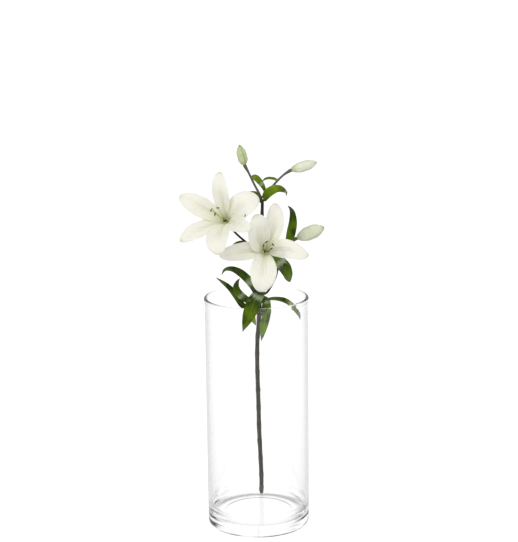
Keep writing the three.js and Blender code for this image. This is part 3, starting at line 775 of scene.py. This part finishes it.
def vase_profile():
    """The outline from the middle of the underside, up the wall, over the lip and down to the floor."""
    inside = VASE_RADIUS - WALL
    lip = (WALL + LIP_SWELL) / 2
    underside = np.stack([np.linspace(POLE_RADIUS, VASE_RADIUS - HEEL_ROUND - 1, 12), np.zeros(12)], axis=-1)
    heel = arc(VASE_RADIUS - HEEL_ROUND, HEEL_ROUND, HEEL_ROUND, -90, 0, 14)
    rim = arc(inside + lip, VASE_HEIGHT - lip, lip, 0, 180, 20)
    well = arc(inside - FLOOR_ROUND, FLOOR + FLOOR_ROUND, FLOOR_ROUND, 0, -90, 12)
    floor = np.stack([np.linspace(inside - FLOOR_ROUND - 1, POLE_RADIUS, 12), np.full(12, FLOOR)], axis=-1)

    def wall(radius, low, high):
        """A straight wall, whose outer side swells smoothly into the lip over its last stretch."""
        shoulder = VASE_HEIGHT - LIP_DEPTH
        z = np.concatenate([np.linspace(low, shoulder, 24), np.linspace(shoulder, high, 8)[1:-1]])
        swell = LIP_SWELL * smooth((z - shoulder) / (LIP_DEPTH - lip)) * (radius > inside)
        return np.stack([radius + swell, z], axis=-1)

    outer = wall(VASE_RADIUS, HEEL_ROUND + 1, VASE_HEIGHT - lip)
    inner = wall(inside, FLOOR + FLOOR_ROUND + 1, VASE_HEIGHT - lip)[::-1]
    return np.concatenate([underside, heel, outer, rim, inner, well, floor])


def make_vase(finish):
    """The profile turned about the vase's axis."""
    profile = vase_profile()
    turn = full_turn(VASE_SIDES)
    radius, z = profile[:, :1], profile[:, 1:]
    points = np.stack([radius * np.cos(turn), radius * np.sin(turn), z + 0 * turn], axis=-1)
    skin = Skin()
    skin.tube(points, np.linspace(0, 1, len(profile))[:, None])
    skin.object("glass_vase", finish, "vase")


# ---------------- stem


def stem_radius(s):
    """The taper from foot to fork, with a small swelling at each old leaf node."""
    taper = STEM_FOOT_RADIUS + (STEM_TOP_RADIUS - STEM_FOOT_RADIUS) * np.clip(s, 0, 1) ** 2.5
    phase = (s / NODE_SPACING) % 1
    return taper + NODE_SWELL * np.exp(-(((phase - 0.5) / 0.16) ** 2))


def stem_scars(s, turn, length):
    """How much a point lies on a leaf scar: the largest of soft bumps set by the golden angle."""
    most = np.zeros(np.broadcast(s, turn).shape)
    for k in range(SCAR_COUNT):
        centre = (k + 0.55) * SCAR_SPACING + SCAR_START
        angle = np.radians(k * GOLDEN_ANGLE)
        sideways = STEM_FOOT_RADIUS * ((turn - angle + np.pi) % (2 * np.pi) - np.pi) / SCAR_SPREAD[0]
        upward = (s - centre) * length / SCAR_SPREAD[1]
        most = np.maximum(most, np.exp(-(sideways**2) - upward**2))
    return most


def add_main_stem(skin):
    """A tapering bar along the stem's route, cut on a slant at the foot and rounded off at the fork."""
    steps, sides = STEM_GRID
    route = Route(STEM_ROUTE)
    s, turn = np.linspace(0, 1, steps + 1), full_turn(sides)
    scar = stem_scars(s[:, None], turn[None, :], route.length)
    flutes = 0.06 * np.sin(5 * turn + 9 * s[:, None]) + 0.05 * np.sin(3 * turn - 14 * s[:, None])
    dome = np.sqrt(np.clip(1 - ((s - 0.995) / 0.005).clip(0) ** 2, 1e-6, 1))[:, None]
    radius = (stem_radius(s)[:, None] + SCAR_HEIGHT * scar + flutes) * dome
    points = rings_about(route.at(s), *across_route(route, s), turn, radius)
    # The foot: every ring that reaches below the slanted plane is slid up the stem onto it.
    slant, spin = math.radians(CUT_SLANT), math.radians(CUT_TURN)
    plane = np.array([math.sin(slant) * math.sin(-spin), math.sin(slant) * math.cos(spin), math.cos(slant)])
    pivot = np.array([STEM_ROUTE[0][0], STEM_ROUTE[0][1], FLOOR + FOOT_GAP])
    heading = route.heading(s)[:, None]
    below = (pivot - points) @ plane
    points = points + heading * (np.clip(below, 0, None) / (heading @ plane))[..., None]
    points[..., 2] = np.maximum(points[..., 2], FLOOR + FOOT_GAP)
    # The cut face: rings drawn in to its middle, set a little into the pith. The tip is drawn in too.
    rim = points[0]
    inward = np.array(CUT_RINGS)[:, None, None]
    face = rim + (rim.mean(axis=0) - rim) * inward + heading[0] * CUT_DEPTH * smooth(inward)
    top = points[-1:] + (points[-1].mean(axis=0) - points[-1]) * 0.99
    cut = len(face)
    points = np.concatenate([face, points, top])
    along = np.concatenate([np.zeros(cut), s, [1.0]])[:, None]
    upper = (np.arange(len(points)) >= cut)[:, None]
    skin.tube(points, along, upper, np.pad(scar, ((cut, 1), (0, 0))))


def stalk_radius(s, turn):
    """Even, with faint ribs, and swelling over its last quarter to carry the flower."""
    swelling = STALK_RADIUS + (STALK_END_RADIUS - STALK_RADIUS) * smooth((s - 0.75) / 0.25)
    return swelling * (1 + 0.035 * np.sin(4 * turn + 6 * s))


def make_stem(finish):
    """The stem and its five stalks, which grow from it."""
    skin = Skin()
    add_main_stem(skin)
    for part in (*FLOWERS.values(), *BUDS.values()):
        skin.bar(part["stalk"], STALK_GRID, stalk_radius)
    skin.object("lily_stem", finish, "stem")


# ---------------- flowers


def flower_turn(flower):
    """The matrix from a flower's own axes (x right, y up, z out of the throat) to its place."""
    side, rise = np.radians(flower["looks"])
    out = np.array([np.sin(side) * np.cos(rise), -np.cos(side) * np.cos(rise), np.sin(rise)])
    right = np.array([np.cos(side), np.sin(side), 0])
    return standing(right, np.cross(out, right), out, flower["seat"])


def tepal_surface(shape, whorl):
    """A tepal's middle surface in the flower's own axes.

    Its midrib leaves the axis at the root lean, opens to lean by mid length and then curls back, and
    is the running sum of short steps at that angle. The width grows from a narrow claw and closes
    like an ellipse at the tip, which sweeps sideways. Across, the halves rise from a channel, the
    midrib is a fine groove, and the edges wave.
    """
    degrees, length, width, lean, curl, broadest, sweep = shape

    def lean_at(s):
        opened = TEPAL_ROOT_LEAN + (lean - TEPAL_ROOT_LEAN) * smooth(s / 0.55)
        return np.radians(opened + curl * smooth((s - 0.55) / 0.45))

    steps = 600
    middles = (np.arange(steps) + 0.5) / steps
    ends = np.linspace(0, 1, steps + 1)
    outward = np.concatenate([[0], np.cumsum(np.sin(lean_at(middles)))]) * length / steps
    forward = np.concatenate([[0], np.cumsum(np.cos(lean_at(middles)))]) * length / steps

    def surface(s, t):
        radius = TEPAL_ROOT_RADIUS + np.interp(s, ends, outward)
        height = TEPAL_ROOT_HEIGHT[whorl] + np.interp(s, ends, forward)
        claw = CLAW + (1 - CLAW) * smooth(s / broadest)
        crown = (1 - np.clip((s - broadest) / (1 - broadest), 0, 1) ** 2.2) ** 0.62
        half = (TIP_WIDTH + (width - TIP_WIDTH) * claw * crown) / 2
        channel = 0.42 * (1 - smooth(s / 0.7)) - 0.1 * smooth((s - 0.3) / 0.6)
        wave = 0.05 * np.sin(9 * s + degrees + 1.5 * t) * smooth(s / 0.4)
        ruffle = 0.022 * np.sin(31 * s + degrees + 2 * t) * smooth((s - 0.15) / 0.3) * t**4
        rise = half * (channel * t**2 + 0.12 * np.abs(t) * smooth(s / 0.3) + wave * t**2 + ruffle)
        rise = rise - 0.55 * np.exp(-((t * half / 1.1) ** 2)) * smooth((0.95 - s) / 0.5)
        angle = lean_at(s)
        turn = np.radians(degrees + sweep * smooth((s - 0.2) / 0.8))
        reach = radius - rise * np.cos(angle)
        x = reach * np.cos(turn) - half * t * np.sin(turn)
        y = reach * np.sin(turn) + half * t * np.cos(turn)
        return np.stack([x, y, height + rise * np.sin(angle) + 0 * t], axis=-1)

    return surface


def add_ball(skin, centre, radii, tilt=0.0, turn=0.0, tint=0.0, along=0.0, groove=0.0):
    """An ellipsoid about centre: tilted about x, turned about z, with two grooves along it."""
    steps, sides = BALL_GRID
    polar = np.linspace(0, np.pi, steps + 1)[:, None]
    around = full_turn(sides)
    reach = np.maximum(np.sin(polar), BALL_POLE_SHARE) * (1 - groove * np.cos(around) ** 8)
    x = radii[0] * reach * np.cos(around)
    y = radii[1] * reach * np.sin(around)
    z = -radii[2] * np.cos(polar) + 0 * around
    lean = math.radians(tilt)
    y, z = y * math.cos(lean) - z * math.sin(lean), y * math.sin(lean) + z * math.cos(lean)
    spin = math.radians(turn)
    x, y = x * math.cos(spin) - y * math.sin(spin), x * math.sin(spin) + y * math.cos(spin)
    points = np.stack([x, y, z], axis=-1) + np.asarray(centre)
    skin.tube(points, along, tint=tint)


def make_bloom(name, flower, finish):
    """Three outer and three inner tepals on their receptacle."""
    skin = Skin()
    half = RECEPTACLE_LENGTH / 2
    add_ball(skin, (0, 0, half - 1), (RECEPTACLE_RADIUS, RECEPTACLE_RADIUS, half))
    for whorl in ("outer", "inner"):
        for order, shape in enumerate(flower[whorl]):
            blade(skin, tepal_surface(shape, whorl), TEPAL_THICKNESS, TEPAL_GRID, TEPAL_DRIFT + order)
    skin.object(f"open_bloom_{name}", finish, f"bloom_{name}", flower_turn(flower))


def add_thread(skin, points, radius, end_radius):
    """A round thread along three points, tapering evenly from one radius to the other."""
    skin.bar(points, THREAD_GRID, lambda s, turn: radius + (end_radius - radius) * s)


def spoke(degrees):
    """The unit vector square to a flower's axis, at degrees round it."""
    angle = math.radians(degrees)
    return np.array([math.cos(angle), math.sin(angle), 0])


def make_stamens(name, flower, finish):
    """Six filaments with an anther across the end of each, round a pistil with a three-lobed stigma.

    A filament opens slowly: 0.57 of the way up it is 0.42 of the way out, and its end drops by a
    quarter of its reach.
    """
    skin = Skin()
    upwards = np.array([0.0, 0.0, 1.0])
    foot = STAMEN_FOOT * upwards
    add_ball(skin, foot, THROAT_FLOOR)
    for degrees, reach, length in flower["stamens"]:
        ahead = spoke(degrees)
        end = ahead * reach + upwards * (length - reach * 0.25)
        bend = ahead * reach * 0.42 + upwards * (length * 0.57)
        add_thread(skin, [ahead * 1.2 + foot, bend, end], FILAMENT_RADIUS, FILAMENT_END_RADIUS)
        centre = end + upwards * 0.6
        add_ball(skin, centre, ANTHER, 90 - ANTHER_TILT, degrees, tint=1.0, groove=ANTHER_GROOVE)
    degrees, reach = flower["pistil"]
    tip = spoke(degrees) * reach + upwards * STYLE_LENGTH
    bend = spoke(degrees) * reach * 0.3 + upwards * STYLE_BEND
    add_thread(skin, [foot, bend, tip], STYLE_RADIUS, STYLE_RADIUS * 0.9)
    for lobe in range(3):
        turn = 120 * lobe + degrees
        add_ball(skin, tip + spoke(turn) * STIGMA_SPREAD, STIGMA_LOBE, turn=turn, along=1.0)
    skin.object(f"throat_{name}", finish, f"stamens_{name}", flower_turn(flower))


def make_bud(name, bud, finish):
    """A spindle from the stalk's end to the tip.

    Its girth is a power of a sine, fuller at the root. Three tepals meet in shallow seams, each with a
    raised rib along it, and they twist a little on their way up.
    """
    steps, sides = BUD_GRID
    root = np.array(bud["stalk"][-1], float)
    reach = np.array(bud["tip"], float) - root
    axis = unit(reach)
    side = unit(np.cross(axis, (0.0, 0.0, 1.0)))
    other = np.cross(axis, side)
    t, turn = np.linspace(0, 1, steps + 1)[:, None], full_turn(sides)
    girth = np.minimum(0.3 * (1 - t) ** 2 + np.sin(np.pi * t ** bud["fullness"]).clip(0) ** 0.7, 1)
    twist = turn + BUD_TWIST * t
    seam = np.exp(-((np.cos(1.5 * twist) / 0.22) ** 2))
    rib = np.exp(-((np.sin(1.5 * twist) / 0.16) ** 2))
    seam_depth = SEAM_DEPTH * smooth(t / 0.15)
    rib_height = RIB_HEIGHT * smooth(t / 0.1) * (1 - smooth((t - 0.8) / 0.2))
    relief = 1 - seam_depth * seam + rib_height * rib
    radius = np.maximum(bud["radius"] * girth * relief, POLE_RADIUS)
    centres = root + reach * t
    points = rings_about(centres, side, other, turn, radius)
    skin = Skin()
    skin.tube(points, t, seam, bud["green"])
    skin.object(f"closed_{name}", finish, name)


# ---------------- leaves


def off_the_stem(points, half):
    """Moves what would lie inside the stem straight out until a sheet of this half thickness clears it."""
    route = Route(STEM_ROUTE)
    s = np.linspace(0, 1, 800)
    centres = route.at(s)
    flat = points.reshape(-1, 3)
    nearest = np.argmin(((flat[:, None] - centres) ** 2).sum(axis=-1), axis=1)
    away = flat - centres[nearest]
    distance = np.linalg.norm(away, axis=-1, keepdims=True)
    wanted = (stem_radius(s[nearest]) + STEM_CLEARANCE + half)[:, None]
    pushed = centres[nearest] + away / np.maximum(distance, 1e-6) * np.maximum(distance, wanted)
    return pushed.reshape(points.shape)


def leaf_surface(leaf, seed):
    """A lance-shaped leaf along its midrib.

    The width is a power of the distance from each end, with its peak at the broadest place. The
    halves fold by a share of their width, the edges wave, and the midrib is a groove. Past its root
    the leaf lies against the stem and doesn't enter it.
    """
    points, root_face, tip_face, width, fold, broadest = leaf
    route = Route(points)
    rise, fall = broadest + 0.1, 1 - broadest

    def surface(s, t):
        along = s[:, 0]
        heading = route.heading(along)
        share = smooth(along)[:, None]
        face = unit(unit(np.array(root_face)) * (1 - share) + unit(np.array(tip_face)) * share)
        sideways = unit(np.cross(face, heading))
        normal = np.cross(heading, sideways)
        shape = ((s + 0.1) / rise) ** (rise * 1.8) * ((1 - s) / fall) ** (fall * 1.8)
        half = (TIP_WIDTH * (1 - 0.6 * smooth((s - 0.8) / 0.2)) + width * shape) / 2
        wave = 0.07 * np.sin(11 * s + width) * t**2 + 0.03 * np.sin(27 * s + 5 * seed + 2 * t) * t**4
        lift = half * (fold * np.abs(t) ** 1.3 + wave) - 0.35 * np.exp(-((t * half / 0.8) ** 2)) * (s < 0.97)
        spread = route.at(along)[:, None] - sideways[:, None] * (half * t)[..., None]
        placed = spread + normal[:, None] * lift[..., None]
        grown = smooth((s - 0.05) / 0.12)[..., None]
        return placed + (off_the_stem(placed, LEAF_THICKNESS / 2) - placed) * grown

    return surface


def make_leaf(name, leaf, seed, finish):
    """One leaf or bract. Its tint tells where its painted highlight is, and sets its drift of colour apart.
    """
    skin = Skin()
    blade(skin, leaf_surface(leaf, seed), LEAF_THICKNESS, LEAF_GRID, PAINTED_HIGHLIGHTS.get(name, NO_PAINTED_HIGHLIGHT + seed))
    skin.object(f"green_{name}", finish, name)


# ---------------- studio

# The floor's side in metres, its colour and its glow.
FLOOR_SPAN = 60.0
FLOOR_COLOUR = (0.12, 0.12, 0.12, 1)
FLOOR_GLOW = 0.97
# How bright the floor and the sky are: as seen, in reflections, and where they light matt pieces.
FLOOR_GREYS = (1.0, 0.75, 0.42)
SKY_GREYS = (1.0, 0.8, 0.42)
# What the lamps face, and each lamp's place and size in metres and its power in watts.
LAMP_TARGET = (0, 0, 0.3)
LAMPS = {
    "key": ((-2.0, -2.0, 2.4), 0.9, 26.0),
    "fill": ((0.5, -2.6, 2.6), 2.0, 31.0),
    "side": ((3.0, 0.6, 1.8), 1.6, 16.0),
    "front": ((0.5, -3.0, 0.8), 0.8, 7.0),
    "back": ((0.2, 2.4, 2.6), 1.4, 15.0),
}


def soft_lamp(name, place, size, power):
    """A square lamp that faces the middle of the object and isn't seen itself."""
    lamp = bpy.data.lights.new(name, "AREA")
    lamp.size = size
    lamp.energy = power
    holder = add_object(name, lamp)
    back = unit(np.array(place) - np.array(LAMP_TARGET))
    right = unit(np.cross((0.0, 0.02, 1.0), back))
    holder.matrix_world = Matrix(standing(right, np.cross(back, right), back, place).tolist())
    holder.visible_camera = False


def grey_by_ray(nodes, greys):
    """The grey that a ray meets, of the three for the ways in which it may have come."""
    seen, mirrored, on_matt = ((grey, grey, grey) for grey in greys)
    from_gloss = nodes.node("ShaderNodeLightPath", output="Glossy Depth").step(0.2, 0.8)
    from_matt = nodes.node("ShaderNodeLightPath", output="Is Diffuse Ray")
    return nodes.mix(from_matt, nodes.mix(from_gloss, seen, mirrored), on_matt)


def make_studio():
    """A plain pale floor that glows, so that no shadow darkens it, an even sky and five soft lamps.

    Both are dimmer in reflections, as in a studio whose near side is dark, and dimmer on matt
    pieces, so that the lamps shape them.
    """
    half = FLOOR_SPAN / 2
    corners = [(-half, -half, 0), (half, -half, 0), (half, half, 0), (-half, half, 0)]
    mesh = bpy.data.meshes.new("floor")
    mesh.from_pydata(corners, [], [(0, 1, 2, 3)])
    paint = Finish("pale_floor", base_color=FLOOR_COLOUR, roughness=0.8, emission_strength=FLOOR_GLOW)
    paint.set(emission_color=grey_by_ray(paint, FLOOR_GREYS))
    mesh.materials.append(paint.material)
    floor = add_object("floor", mesh)
    world = bpy.data.worlds.new("studio")
    world.use_nodes = True
    tree = world.node_tree
    sky = grey_by_ray(Nodes(tree), SKY_GREYS)
    tree.links.new(sky.socket, tree.nodes["Background"].inputs["Color"])
    bpy.context.scene.world = world
    for name, (place, size, power) in LAMPS.items():
        soft_lamp(name, place, size, power)
    bpy.context.scene.view_settings.view_transform = "Standard"


# ---------------- the scene

place_camera()
make_studio()
make_vase(glass_finish())
make_stem(stem_finish())
petal, stamen = petal_finish(), stamen_finish()
for flower_name, flower_parts in FLOWERS.items():
    make_bloom(flower_name, flower_parts, petal)
    make_stamens(flower_name, flower_parts, stamen)
bud_wax = bud_finish()
for bud_name, bud_parts in BUDS.items():
    make_bud(bud_name, bud_parts, bud_wax)
leaf_gloss = leaf_finish()
for leaf_seed, (leaf_name, leaf_parts) in enumerate(LEAVES.items()):
    make_leaf(leaf_name, leaf_parts, leaf_seed, leaf_gloss)
